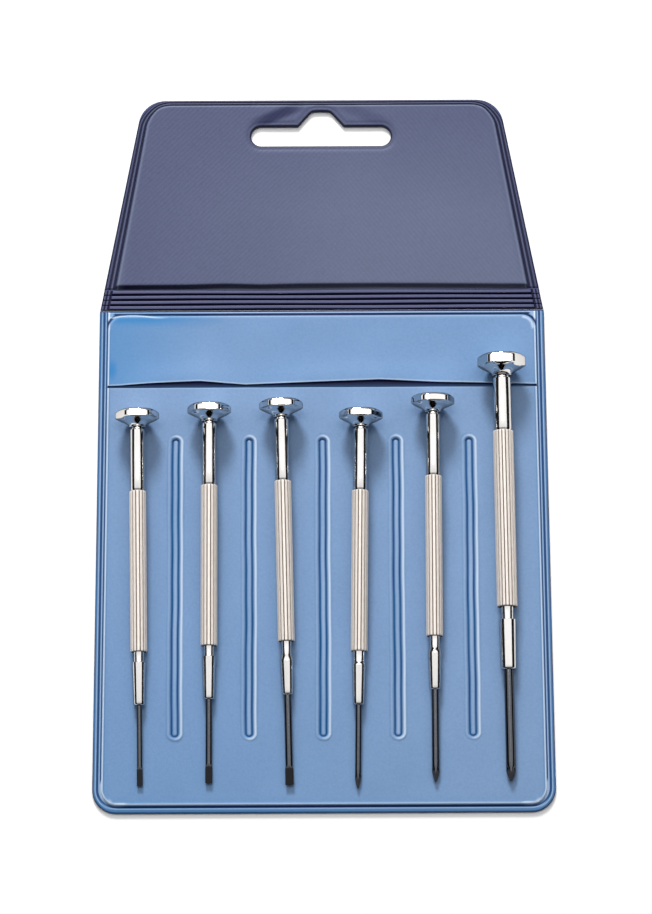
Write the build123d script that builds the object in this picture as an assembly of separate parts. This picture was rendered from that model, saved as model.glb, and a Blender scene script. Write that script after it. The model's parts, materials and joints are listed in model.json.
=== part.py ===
# Six precision screwdrivers laid out on their vinyl wallet, open and flat.
#
# The wallet lies on its back at z = 0, with the pouch towards -Y and the flap towards +Y.
# Its outer cover is one thickness of vinyl: a pouch panel, four hinge ribs and a flap panel,
# joined by five thin webs that bend.  A pocket front is welded to the pouch panel round three
# sides and along five slots, so that six pockets lie side by side.  A band above it, welded
# at its sides and top, covers the caps, and between the two is the mouth of the pockets.
# The flap holds a stiffening board under a lining, and a hang slot goes through all three.
# Each screwdriver has a turned handle, a pressed-in blade and a hexagonal cap that turns
# freely on a rivet.  It lies over its own pocket, just clear of it, so that the cap can turn.
#
# Units are millimetres.  The origin is the middle of the wallet's underside, +Z is up.
from build123d import *
from math import asin, cos, radians, sin, sqrt
import os

# ---- wallet: outline -------------------------------------------------------------------
pocket_count = 6
pocket_pitch = 18.0
pocket_side_margin = 1.8  # outermost pocket's centre line plus half a pitch, to the edge
pouch_side_taper = 0.8  # how far each side leans in from the bottom edge to the weld line
pouch_length = 125.4  # bottom edge to the weld line under the ribs
bottom_corner_radius = 5.9
flap_length = 55.4  # weld line to the flap's free edge
flap_side_lean = 10.4  # how far each side leans in from the weld line to the free edge
flap_corner_radius = 6.8

# ---- wallet: vinyl and board -----------------------------------------------------------
cover_thickness = 0.4
front_thickness = 0.25
pocket_height = 0.85  # free height inside an empty pocket
board_thickness = 0.7
flap_lining_thickness = 0.3
edge_weld_width = 2.0  # welded band round the pouch
mouth_setback = 19.6  # weld line to the pocket front's free edge
mouth_gap = 1.2  # pocket front's free edge to the band's
band_top_weld = 1.0  # welded band along the weld line
band_corner_radius = 3.4

# ---- wallet: weld slots between the pockets --------------------------------------------
slot_weld_width = 2.4
slot_weld_from_bottom = 18.1
slot_weld_below_mouth = 12.7
weld_press_depth = 0.55  # how far a weld is pressed below the pocket front

# ---- wallet: ribbed hinge --------------------------------------------------------------
rib_count = 4
rib_pitch = 1.3
rib_height = 0.8
rib_groove_width = 0.45
rib_side_inset = 1.6
first_web_offset = 0.6  # weld line to the first web
web_clearance = 0.02

# ---- wallet: flap ----------------------------------------------------------------------
flap_root_gap = 0.5  # last web to the flap's raised panel
flap_side_weld = 2.4
flap_top_weld = 1.3
board_clearance = 0.15

# ---- wallet: hang slot -----------------------------------------------------------------
hang_slot_width = 35.0
hang_slot_height = 5.2
hang_peak_height = 4.0
hang_peak_top_width = 4.6
hang_peak_base_width = 11.4
hang_peak_radius = 1.8
hang_slot_below_edge = 3.1  # free edge to the peak's top
hang_slot_weld = 1.0  # welded land round the slot

# ---- screwdrivers: the two handle sizes ------------------------------------------------
# Lengths run along the axis from the blade's end of the handle to the cap.
small_handle = dict(
    nose_length=10.5, nose_tip_radius=1.38, nose_back_radius=1.7, waist_length=2.5,
    grip_length=39.6, grip_radius=2.05, neck_length=15.4, neck_radius=1.8, flutes=14,
    cap_corner_radius=5.4, cap_hub_radius=2.05, cap_underside=2.3, cap_rim=1.85,
)
large_handle = dict(
    nose_length=12.2, nose_tip_radius=1.95, nose_back_radius=2.12, waist_length=3.1,
    grip_length=43.6, grip_radius=2.5, neck_length=13.3, neck_radius=2.2, flutes=18,
    cap_corner_radius=5.93, cap_hub_radius=2.45, cap_underside=2.6, cap_rim=2.55,
)
flute_radius = 0.3
grip_chamfer = 0.25
nose_rounding = 0.15
spigot_length = 0.35  # small step between the neck and the cap
spigot_inset = 0.45
cap_gap = 0.08  # running clearance under the cap
cap_hub_length = 0.35
cap_flare_hollow = 0.35  # how far the underside is hollowed below a straight cone
cap_run_out = 0.15  # the turned blank's radius beyond the hexagon's corners
cap_bevel_height = 0.55
cap_bevel_width = 0.9
cap_corner_rounding = 0.9
cap_dish_depth = 0.35
cap_dish_margin = 1.5
cap_dish_flat_share = 0.4

# ---- screwdrivers: cap rivet -----------------------------------------------------------
rivet_radius = 0.8
rivet_running_clearance = 0.05
rivet_seat_depth = 3.5
rivet_head_radius = 1.5
rivet_head_thickness = 0.5
rivet_head_clearance = 0.12

# ---- screwdrivers: blades --------------------------------------------------------------
blade_seat_depth = 8.0
slotted_tip_length = 4.4
slotted_edge_thickness = 0.28
cross_tip_length = 3.6
cross_point_share = 0.28  # point's radius as a share of the blade's
cross_flute_share = 0.62

# ---- screwdrivers: how they lie --------------------------------------------------------
rest_clearance = 0.15

# One row each, from left to right: handle, tip kind, shaft radius, slotted tip's width,
# exposed blade, waist radius, length of the cone from the waist to the nose, distance of the
# tip from the pocket's centre line and from the bottom edge, turn on the wallet and of the
# cap, in degrees.
drivers = [
    (small_handle, "slotted", 0.66, 1.4, 19.5, 1.3, 0.1, 0.80, 6.4, 0.66, 2.0),
    (small_handle, "slotted", 0.80, 1.7, 20.3, 1.3, 0.1, -0.65, 7.0, 0.00, -4.0),
    (small_handle, "slotted", 0.92, 2.0, 21.8, 1.25, 2.2, 0.75, 6.5, 1.13, 1.0),
    (small_handle, "cross", 0.75, 0.0, 20.2, 1.5, 0.8, -0.85, 5.6, -0.79, 0.0),
    (small_handle, "cross", 0.90, 0.0, 22.3, 1.3, 1.6, -0.15, 7.1, -0.11, 8.0),
    (large_handle, "cross", 1.18, 0.0, 27.1, 1.55, 0.1, -0.05, 7.1, 0.55, -3.0),
]

# ---- worked out from the sizes above ---------------------------------------------------
total_length = pouch_length + flap_length
bottom_edge = -total_length / 2
weld_line = bottom_edge + pouch_length
free_edge = total_length / 2
mouth_edge = weld_line - mouth_setback
web_radius = cover_thickness / 2
webs = [weld_line + first_web_offset + i * rib_pitch for i in range(rib_count + 1)]
flap_panel_start = webs[-1] + flap_root_gap
front_top = cover_thickness + pocket_height + front_thickness
weld_top = front_top - weld_press_depth
flap_top = cover_thickness + board_thickness + flap_lining_thickness
OVER = 1.0  # how far cutting tools run past what they cut


def half_width(y):
    """Half the wallet's width at y, without its rounded corners."""
    bottom = pocket_count * pocket_pitch / 2 + pocket_side_margin
    if y <= weld_line:
        return bottom - pouch_side_taper * (y - bottom_edge) / pouch_length
    return bottom - pouch_side_taper - flap_side_lean * (y - weld_line) / flap_length


def side_taper(y_low, y_high):
    """How far a side leans in over one millimetre, between two heights on one panel."""
    return (half_width(y_low) - half_width(y_high)) / (y_high - y_low)


def trapezium(y_low, y_high, inset=0.0):
    """Flat shape between two heights, its sides moved in square to themselves by inset."""
    along = inset * sqrt(1 + side_taper(y_low, y_high) ** 2)
    low, high = half_width(y_low) - along, half_width(y_high) - along
    return make_face(Polyline((-low, y_low), (low, y_low), (high, y_high), (-high, y_high), close=True))


def slab(face, z_low, z_high):
    """Solid of a flat face between two levels."""
    return extrude(Pos(0, 0, z_low) * face, z_high - z_low)


def round_off(face, y, radius):
    """Rounds the corners of a flat face that lie at height y."""
    corners = [v for v in face.vertices() if abs(v.Y - y) < 1e-6]
    return fillet(corners, radius)


# ---- pouch -----------------------------------------------------------------------------
def pouch_outline(y_high, inset=0.0):
    """The pouch from its bottom edge up to y_high, moved in by inset on three sides."""
    low = bottom_edge + inset
    radius = bottom_corner_radius - inset
    return round_off(trapezium(low, y_high, inset), low, radius)


def slot_centres():
    """The x of each weld between two neighbouring pockets."""
    return [(i - pocket_count / 2) * pocket_pitch for i in range(1, pocket_count)]


def weld_slots(width, z_low, z_high):
    """The row of upright welds, as solids of one width."""
    low = bottom_edge + slot_weld_from_bottom
    high = mouth_edge - slot_weld_below_mouth
    middle = (low + high) / 2
    shape = SlotOverall(high - low - slot_weld_width + width, width, rotation=90)
    return [slab(Pos(x, middle) * shape, z_low, z_high) for x in slot_centres()]


def make_cover_pouch():
    return slab(pouch_outline(webs[0] - web_radius - web_clearance), 0, cover_thickness)


def make_pocket_front():
    """A sheet pressed down on to the cover at its edge and along the slots."""
    inner_width = edge_weld_width + front_thickness
    sheet = slab(pouch_outline(mouth_edge), cover_thickness, weld_top)
    sheet += slab(pouch_outline(mouth_edge, edge_weld_width), cover_thickness, front_top)
    cavity = slab(
        pouch_outline(mouth_edge + OVER, inner_width), cover_thickness, front_top - front_thickness
    )
    for island in weld_slots(slot_weld_width, cover_thickness, front_top):
        cavity -= island
    sheet -= cavity
    for hollow in weld_slots(slot_weld_width - 2 * front_thickness, weld_top, front_top + OVER):
        sheet -= hollow
    return sheet


def band_outline(y_low, inset, top_inset, radius):
    """The band above the mouth, moved in at its sides and top, with its top corners rounded."""
    high = weld_line - top_inset
    return round_off(trapezium(y_low, high, inset), high, radius)


def make_mouth_band():
    """A sheet over the caps, pressed down on to the cover at its sides and top."""
    low = mouth_edge + mouth_gap
    inner_width = edge_weld_width + front_thickness
    inner_weld = band_top_weld + front_thickness
    sheet = slab(trapezium(low, weld_line), cover_thickness, weld_top)
    sheet += slab(
        band_outline(low, edge_weld_width, band_top_weld, band_corner_radius), cover_thickness, front_top
    )
    cavity = band_outline(low - OVER, inner_width, inner_weld, band_corner_radius - front_thickness)
    return sheet - slab(cavity, cover_thickness, front_top - front_thickness)


# ---- ribbed hinge ----------------------------------------------------------------------
def web_bead(y):
    """Round edge that a strip of cover turns on, along the whole web at y."""
    length = 2 * half_width(y)
    return Pos(0, y, web_radius) * Rot(0, 90, 0) * Cylinder(web_radius, length)


def make_rib(index):
    start, end = webs[index], webs[index + 1]
    strip = slab(trapezium(start, end - web_radius - web_clearance), 0, cover_thickness)
    ridge_low = start + rib_groove_width / 2
    ridge_high = end - rib_groove_width / 2
    ridge = slab(trapezium(ridge_low, ridge_high, rib_side_inset), cover_thickness, rib_height)
    return strip + web_bead(start) + ridge


# ---- flap ------------------------------------------------------------------------------
def hang_slot(grow=0.0):
    """Flat shape of the hang slot: a round-ended slot with a peak in the middle."""
    base = free_edge - hang_slot_below_edge - hang_peak_height - hang_slot_height
    middle = base + hang_slot_height / 2
    band = Pos(0, middle) * SlotOverall(hang_slot_width + 2 * grow, hang_slot_height + 2 * grow)
    lean = (hang_peak_base_width - hang_peak_top_width) / 2 / hang_peak_height
    widen = grow * (sqrt(1 + lean**2) + lean) - 2 * grow * lean
    top = middle + hang_slot_height / 2 + hang_peak_height + grow
    half_top = hang_peak_top_width / 2 + widen
    half_foot = half_top + lean * (top - middle)
    peak = make_face(
        Polyline((-half_foot, middle), (half_foot, middle), (half_top, top), (-half_top, top), close=True)
    )
    return band + round_off(peak, top, hang_peak_radius)


def flap_outline(y_low, side_inset=0.0, top_inset=0.0):
    """The flap from y_low to its free edge, with its two free corners rounded."""
    high = free_edge - top_inset
    radius = flap_corner_radius - (side_inset + top_inset) / 2
    return round_off(trapezium(y_low, high, side_inset), high, radius)


def make_cover_flap():
    panel = slab(flap_outline(webs[-1]), 0, cover_thickness) + web_bead(webs[-1])
    return panel - slab(hang_slot(), -OVER, cover_thickness + OVER)


def make_flap_board():
    inset = flap_lining_thickness + board_clearance
    start = flap_panel_start + inset
    panel = flap_outline(start, flap_side_weld + inset, flap_top_weld + inset)
    cut = hang_slot(hang_slot_weld + inset)
    return slab(panel - cut, cover_thickness, cover_thickness + board_thickness)


def make_flap_lining():
    """A sheet over the board, pressed down at its edge and round the hang slot."""
    edge_top = cover_thickness + flap_lining_thickness
    raised = flap_outline(flap_panel_start, flap_side_weld, flap_top_weld)
    raised -= hang_slot(hang_slot_weld)
    inset = flap_lining_thickness
    room = flap_outline(
        flap_panel_start + inset, flap_side_weld + inset, flap_top_weld + inset
    ) - hang_slot(hang_slot_weld + inset)
    sheet = slab(flap_outline(flap_panel_start), cover_thickness, edge_top)
    sheet += slab(raised, cover_thickness, flap_top)
    sheet -= slab(room, cover_thickness, cover_thickness + board_thickness)
    return sheet - slab(hang_slot(), 0, flap_top + OVER)


# ---- screwdrivers ----------------------------------------------------------------------
# Each piece is made upright, its axis on Z with the blade's tip at 0, then laid down.
def turned(points):
    """Solid of revolution about Z from (radius, height) points."""
    return revolve(make_face(Polyline(*[(r, 0, z) for r, z in points], close=True)), Axis.Z)


def bar(radius, z_low, z_high):
    """Round bar along the axis."""
    return Pos(0, 0, (z_low + z_high) / 2) * Cylinder(radius, z_high - z_low)


def handle_stations(h, exposed):
    """Heights of the handle's shoulders: nose, waist, grip, neck, end and cap seat."""
    waist = exposed + h["nose_length"]
    grip = waist + h["waist_length"]
    neck = grip + h["grip_length"]
    end = neck + h["neck_length"]
    return exposed, waist, grip, neck, end, end + spigot_length + cap_gap


def make_handle(h, shaft_radius, exposed, waist_radius, cone_length):
    """One turned bar: nose, waist, fluted grip, plain neck and the spigot under the cap."""
    nose, waist, grip, neck, end, _ = handle_stations(h, exposed)
    spigot_radius = h["neck_radius"] - spigot_inset
    body = turned([
        (0, nose), (h["nose_tip_radius"] - nose_rounding, nose),
        (h["nose_tip_radius"], nose + nose_rounding),
        (h["nose_back_radius"], waist - cone_length),
        (waist_radius, waist), (waist_radius, grip),
        (h["neck_radius"], grip), (h["neck_radius"], end - nose_rounding),
        (h["neck_radius"] - nose_rounding, end), (spigot_radius, end),
        (spigot_radius, end + spigot_length), (0, end + spigot_length),
    ])
    section = Circle(h["grip_radius"])
    section -= PolarLocations(h["grip_radius"], h["flutes"]) * Circle(flute_radius)
    fluted = extrude(Pos(0, 0, grip) * section, h["grip_length"])
    bevelled = chamfer(bar(h["grip_radius"], grip, neck).edges().filter_by(GeomType.CIRCLE), grip_chamfer)
    body += fluted & bevelled
    body -= bar(shaft_radius, nose, nose + blade_seat_depth)
    return body - bar(rivet_radius, end + spigot_length - rivet_seat_depth, end + spigot_length)


def make_cap(h, exposed):
    """Hexagonal finger cap: a hub flaring to a rim with six flats, and a dished top."""
    seat = handle_stations(h, exposed)[-1]
    corner, hub = h["cap_corner_radius"], h["cap_hub_radius"]
    rim = seat + h["cap_underside"]
    top = rim + h["cap_rim"]
    reach = corner + cap_run_out
    flare_low = (hub, 0, seat + cap_hub_length)
    flare_mid = ((hub + reach) / 2 - cap_flare_hollow, 0, (flare_low[2] + rim) / 2 + cap_flare_hollow)
    dish = corner - cap_dish_margin
    floor = top - cap_dish_depth
    half_floor = dish * cap_dish_flat_share
    dish_mid = ((dish + half_floor) / 2, 0, top - cap_dish_depth * 0.7)
    outline = Polyline((0, 0, floor), (0, 0, seat), (hub, 0, seat), flare_low).edges()
    outline += ThreePointArc(flare_low, flare_mid, (reach, 0, rim)).edges()
    outline += Polyline(
        (reach, 0, rim), (reach, 0, top - cap_bevel_height), (corner - cap_bevel_width, 0, top), (dish, 0, top)
    ).edges()
    outline += ThreePointArc((dish, 0, top), dish_mid, (half_floor, 0, floor)).edges()
    outline += Line((half_floor, 0, floor), (0, 0, floor)).edges()
    body = revolve(make_face(outline), Axis.Z)
    sharp_corner = corner + cap_corner_rounding * (2 / sqrt(3) - 1)
    hexagon = fillet(RegularPolygon(sharp_corner, 6).vertices(), cap_corner_rounding)
    body &= extrude(Pos(0, 0, seat - OVER) * hexagon, top - seat + 2 * OVER)
    body -= bar(rivet_radius + rivet_running_clearance, seat - OVER, top + OVER)
    head_seat = rivet_head_seat(h, exposed)
    return body - bar(rivet_head_radius + rivet_head_clearance, head_seat, top + OVER)


def rivet_head_seat(h, exposed):
    """Height of the counterbore that the rivet's head lies in."""
    top = handle_stations(h, exposed)[-1] + h["cap_underside"] + h["cap_rim"]
    return top - cap_dish_depth - rivet_head_thickness - rivet_head_clearance


def make_rivet(h, exposed):
    end = handle_stations(h, exposed)[-2] + spigot_length
    head = rivet_head_seat(h, exposed) + rivet_head_clearance / 2
    body = bar(rivet_radius, end - rivet_seat_depth, head)
    rounded = bar(rivet_head_radius, head, head + rivet_head_thickness)
    return body + fillet(rounded.edges().sort_by(Axis.Z)[-1], rivet_head_thickness * 0.4)


def slotted_blade(radius, width, back):
    """Round shaft whose end is ground to a flat edge, as wide as the screw slot it fits."""
    shaft = bar(radius, slotted_tip_length, back)
    flat = make_face(
        Polyline(
            (0, -slotted_edge_thickness / 2, 0), (0, slotted_edge_thickness / 2, 0),
            (0, radius, slotted_tip_length), (0, -radius, slotted_tip_length), close=True,
        )
    )
    tip = extrude(flat, width / 2, both=True) & bar(width / 2, 0, slotted_tip_length)
    return shaft + tip


def cross_blade(radius, back):
    """Round shaft with a cone at its end, cut by four grooves that leave a cross."""
    point = radius * cross_point_share
    solid = turned([(0, 0), (point, 0), (radius, cross_tip_length * 0.62), (radius, back), (0, back)])
    reach = radius * cross_flute_share
    groove = Pos(0, 0, -OVER) * Cylinder(
        reach, cross_tip_length + OVER, align=(Align.CENTER, Align.CENTER, Align.MIN)
    )
    offset = radius * 1.06
    for quarter in range(4):
        angle = radians(45 + 90 * quarter)
        turned_out = Pos(offset * cos(angle), offset * sin(angle), 0)
        solid -= turned_out * groove
    return solid


def make_blade(kind, radius, width, exposed):
    back = exposed + blade_seat_depth
    if kind == "slotted":
        return slotted_blade(radius, width, back)
    return cross_blade(radius, back)


def cap_middle(h, exposed):
    """Height of the middle of the cap's rim along the axis."""
    return handle_stations(h, exposed)[-1] + h["cap_underside"] + h["cap_rim"] / 2


def lying(row, index):
    """Plane that lays an upright piece down over its pocket: Z along the screwdriver."""
    h, kind, radius, width, exposed, _, _, off_centre, from_bottom, turn, _ = row
    lane = (index - (pocket_count - 1) / 2) * pocket_pitch
    tip = front_top + rest_clearance + radius
    cap = front_top + rest_clearance + h["cap_corner_radius"]
    tilt = asin((cap - tip) / cap_middle(h, exposed))
    side = radians(turn)
    return Plane(
        origin=(lane + off_centre, bottom_edge + from_bottom, tip),
        x_dir=(cos(side), sin(side), 0),
        z_dir=(-sin(side) * cos(tilt), cos(side) * cos(tilt), sin(tilt)),
    )


def make_driver(row, index):
    """The four pieces of one screwdriver, by name."""
    h, kind, radius, width, exposed, waist_radius, cone_length, _, _, _, cap_turn = row
    place = lying(row, index).location
    name = f"driver_{index + 1}"
    return {
        f"{name}_handle": place * make_handle(h, radius, exposed, waist_radius, cone_length),
        f"{name}_blade": place * make_blade(kind, radius, width, exposed),
        f"{name}_cap": place * Rot(0, 0, cap_turn) * make_cap(h, exposed),
        f"{name}_rivet": place * make_rivet(h, exposed),
    }


# ---- all pieces ------------------------------------------------------------------------
pieces = {
    "cover_pouch": make_cover_pouch(),
    "pocket_front": make_pocket_front(),
    "mouth_band": make_mouth_band(),
    "cover_flap": make_cover_flap(),
    "flap_board": make_flap_board(),
    "flap_lining": make_flap_lining(),
}
for rib in range(rib_count):
    pieces[f"hinge_rib_{rib + 1}"] = make_rib(rib)
for number, row in enumerate(drivers):
    pieces.update(make_driver(row, number))

os.makedirs("parts", exist_ok=True)
for name, piece in pieces.items():
    export_step(piece, f"parts/{name}.step")
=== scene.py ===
import json
import math

import bpy
import numpy as np
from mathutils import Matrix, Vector


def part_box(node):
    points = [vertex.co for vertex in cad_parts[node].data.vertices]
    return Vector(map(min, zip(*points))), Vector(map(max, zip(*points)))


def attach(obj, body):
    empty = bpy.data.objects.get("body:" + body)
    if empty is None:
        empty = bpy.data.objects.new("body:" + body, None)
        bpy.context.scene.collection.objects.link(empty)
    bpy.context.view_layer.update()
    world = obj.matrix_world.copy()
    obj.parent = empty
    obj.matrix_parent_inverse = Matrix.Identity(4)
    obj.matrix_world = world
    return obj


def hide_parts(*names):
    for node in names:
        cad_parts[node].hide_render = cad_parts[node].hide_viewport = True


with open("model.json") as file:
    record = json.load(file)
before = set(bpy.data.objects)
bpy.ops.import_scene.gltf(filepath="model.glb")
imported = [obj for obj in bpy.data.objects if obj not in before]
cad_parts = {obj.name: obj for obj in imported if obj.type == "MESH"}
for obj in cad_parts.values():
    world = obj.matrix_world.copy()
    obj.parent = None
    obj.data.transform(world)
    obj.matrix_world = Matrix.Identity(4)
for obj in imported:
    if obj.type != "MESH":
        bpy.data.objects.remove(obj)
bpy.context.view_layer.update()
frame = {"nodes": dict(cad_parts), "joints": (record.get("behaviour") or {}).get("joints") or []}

# ---- camera ----------------------------------------------------------------------------
# It stands above the lower edge of the wallet and looks down on its face through a long
# lens, so the wallet's sides stay nearly parallel.
MM = 0.001  # in metres
camera_elevation = math.radians(75.5)
camera_azimuth = math.radians(-0.27)
camera_distance = 997.3 * MM
looks_at = Vector((0.86, -2.02, 0)) * MM
back = Vector((
    math.sin(camera_azimuth) * math.cos(camera_elevation),
    -math.cos(camera_azimuth) * math.cos(camera_elevation),
    math.sin(camera_elevation),
))
camera_data = bpy.data.cameras.new("camera")
camera_data.sensor_width = 36
camera_data.lens = 159.96
camera_data.clip_end = 10
camera = bpy.data.objects.new("camera", camera_data)
camera.location = looks_at + camera_distance * back
camera.rotation_euler = back.to_track_quat("Z", "Y").to_euler()
bpy.context.collection.objects.link(camera)
bpy.context.scene.camera = camera
bpy.context.scene.view_settings.view_transform = "Standard"

# ---- light and floor -------------------------------------------------------------------
# A wide white tent overhead with dark sides below it, which draws the hard bands on the
# plated steel, a lamp a little behind the flap, a strip lamp above and a white table.
tent_brightness = 1.3
tent_edge_height = 0.64  # sine of the height above the horizon where the tent begins
tent_edge_width = 0.035
dark_side = (0.012, 0.012, 0.0144)
# Place from the viewer's side (0) to the far side (1) against the tent's share of its brightness.
tent_shares = [(0.36, 0.2), (0.56, 1), (0.78, 1), (0.95, 0.5)]
backdrop_grey = (0.8, 0.8, 0.8)


def feed(tree, socket, value):
    """Links a socket to another one, or sets it to a number or a colour."""
    if isinstance(value, bpy.types.NodeSocket):
        tree.links.new(value, socket)
    else:
        socket.default_value = (*value, 1) if isinstance(value, tuple) else value


def mixed(tree, factor, low, high, blend="MIX"):
    """Node socket: the colour from low to high by a value; low and high are sockets or colours."""
    node = tree.nodes.new("ShaderNodeMix")
    node.data_type = "RGBA"
    node.blend_type = blend
    for key, value in (("Factor", factor), (6, low), (7, high)):
        feed(tree, node.inputs[key], value)
    return node.outputs[2]


def ranged(tree, value, low, high, to_low, to_high):
    """Node socket: a value's range from low to high moved to another range, and clamped."""
    node = tree.nodes.new("ShaderNodeMapRange")
    tree.links.new(value, node.inputs["Value"])
    for name, number in zip(("From Min", "From Max", "To Min", "To Max"), (low, high, to_low, to_high)):
        node.inputs[name].default_value = number
    return node.outputs[0]


def ramped(tree, value, stops):
    """Node socket: the colour that a value has on a ramp, from rows of (value, colour)."""
    node = tree.nodes.new("ShaderNodeValToRGB")
    tree.links.new(value, node.inputs[0])
    elements = node.color_ramp.elements
    for number, (at, colour) in enumerate(stops):
        stop = elements[number] if number < 2 else elements.new(at)
        stop.position = at
        stop.color = (*colour, 1)
    return node.outputs[0]


world = bpy.data.worlds.new("tent")
world.use_nodes = True
tree = world.node_tree
looking = tree.nodes.new("ShaderNodeSeparateXYZ")
tree.links.new(tree.nodes.new("ShaderNodeTexCoord").outputs["Generated"], looking.inputs[0])
tent_edge = [(tent_edge_height, dark_side), (tent_edge_height + tent_edge_width, (1, 1, 1))]
tent = ramped(tree, looking.outputs["Z"], tent_edge)
from_viewer = ranged(tree, looking.outputs["Y"], -1, 1, 0, 1)
across_tent = ramped(tree, from_viewer, [(at, (share,) * 3) for at, share in tent_shares])
shaded = mixed(tree, 1, tent, across_tent, "MULTIPLY")
seen = tree.nodes.new("ShaderNodeLightPath").outputs["Is Camera Ray"]
feed(tree, tree.nodes["Background"].inputs["Color"], mixed(tree, seen, shaded, backdrop_grey))
tree.nodes["Background"].inputs["Strength"].default_value = tent_brightness
bpy.context.scene.world = world

# Each lamp: name, width, depth, power, place.  The strip overhead draws the glint on the blades.
lamps = [
    ("soft_lamp", 0.3, 0.3, 12.5, (-0.12, 0.9, 0.68)),
    ("strip_lamp", 0.4, 0.1, 1.3, (0, 0.15, 0.99)),
]
for name, width, depth, power, place in lamps:
    lamp_data = bpy.data.lights.new(name, "AREA")
    lamp_data.shape = "ELLIPSE" if width == depth else "RECTANGLE"
    lamp_data.size = width
    lamp_data.size_y = depth
    lamp_data.energy = power
    lamp = bpy.data.objects.new(name, lamp_data)
    lamp.location = place
    lamp.rotation_euler = lamp.location.to_track_quat("Z", "Y").to_euler()
    bpy.context.collection.objects.link(lamp)

floor_half_m = 1.5
floor_below = 0.02
floor_mesh = bpy.data.meshes.new("floor")
floor_corners = [(-floor_half_m, -floor_half_m), (floor_half_m, -floor_half_m)]
floor_corners += [(floor_half_m, floor_half_m), (-floor_half_m, floor_half_m)]
floor_mesh.from_pydata([(x, y, -floor_below * MM) for x, y in floor_corners], [], [(0, 1, 2, 3)])
floor = bpy.data.objects.new("floor", floor_mesh)
bpy.context.collection.objects.link(floor)


def new_material(name):
    """A material with nodes, its node tree and its shader."""
    material = bpy.data.materials.new(name)
    material.use_nodes = True
    return material, material.node_tree, material.node_tree.nodes["Principled BSDF"]


floor_paint, _, floor_shader = new_material("white_table")
floor_shader.inputs["Base Color"].default_value = (0.96, 0.96, 0.96, 1)
floor_shader.inputs["Roughness"].default_value = 0.9
floor_shader.inputs["Specular IOR Level"].default_value = 0.2
floor_mesh.materials.append(floor_paint)

# ---- outer cover -----------------------------------------------------------------------
# One thickness of navy vinyl under the pouch and the flap.  Its packed panels are kept and
# get the finish: a fine leather grain, cloudy colour and a soft gloss.
pouch_low, pouch_high = (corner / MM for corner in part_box("cover_pouch"))
flap_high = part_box("cover_flap")[1] / MM
cover_top = pouch_high.z
bottom_edge = pouch_low.y
free_edge = flap_high.y
navy = (0.054, 0.066, 0.138)
# deep_navy serves for welds squeezed thin on the navy vinyl and for painted shade in its grooves and under
# the flap panel's edge.
deep_navy = (0.007, 0.007, 0.032)
# The colour of painted highlights on the vinyl.
bleached_blue = (0.62, 0.74, 0.88)


def noise(tree, place, scale, detail, roughness=0.5):
    """Node socket: cloudy noise, its scale a socket or a number."""
    node = tree.nodes.new("ShaderNodeTexNoise")
    inputs = (("Vector", place), ("Scale", scale), ("Detail", detail), ("Roughness", roughness))
    for key, value in inputs:
        feed(tree, node.inputs[key], value)
    return node.outputs["Fac"]


def vinyl_grain_group():
    """Node group: leather grain as cells of two sizes, and slow clouds of colour."""
    group = bpy.data.node_groups.new("vinyl_grain", "ShaderNodeTree")
    for name, kind in (("Place", "Vector"), ("Grain Scale", "Float"), ("Cloud Scale", "Float")):
        group.interface.new_socket(name, in_out="INPUT", socket_type=f"NodeSocket{kind}")
    for name in ("Height", "Cloud"):
        group.interface.new_socket(name, in_out="OUTPUT", socket_type="NodeSocketFloat")
    start = group.nodes.new("NodeGroupInput").outputs
    end = group.nodes.new("NodeGroupOutput").inputs
    cells = group.nodes.new("ShaderNodeTexVoronoi")
    cells.feature = "SMOOTH_F1"
    cells.inputs["Smoothness"].default_value = 0.6
    feed(group, cells.inputs["Vector"], start["Place"])
    feed(group, cells.inputs["Scale"], start["Grain Scale"])
    both = group.nodes.new("ShaderNodeMath")
    both.operation = "MULTIPLY_ADD"
    fine = noise(group, start["Place"], start["Grain Scale"], 4, 0.7)
    for key, value in enumerate((cells.outputs["Distance"], 0.6, fine)):
        feed(group, both.inputs[key], value)
    feed(group, end["Height"], both.outputs[0])
    feed(group, end["Cloud"], noise(group, start["Place"], start["Cloud Scale"], 5, 0.62))
    return group


vinyl_grain = vinyl_grain_group()


def attribute(tree, name):
    """Node socket: a value stored on the mesh's points."""
    node = tree.nodes.new("ShaderNodeAttribute")
    node.attribute_name = name
    return node.outputs["Fac"]


def bumped(tree, value, distance_m, strength=1.0, under=None):
    """Node socket: the normal of a height, laid over another normal where there is one."""
    node = tree.nodes.new("ShaderNodeBump")
    node.inputs["Strength"].default_value = strength
    node.inputs["Distance"].default_value = distance_m
    tree.links.new(value, node.inputs["Height"])
    if under is not None:
        tree.links.new(under, node.inputs["Normal"])
    return node.outputs[0]


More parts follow.
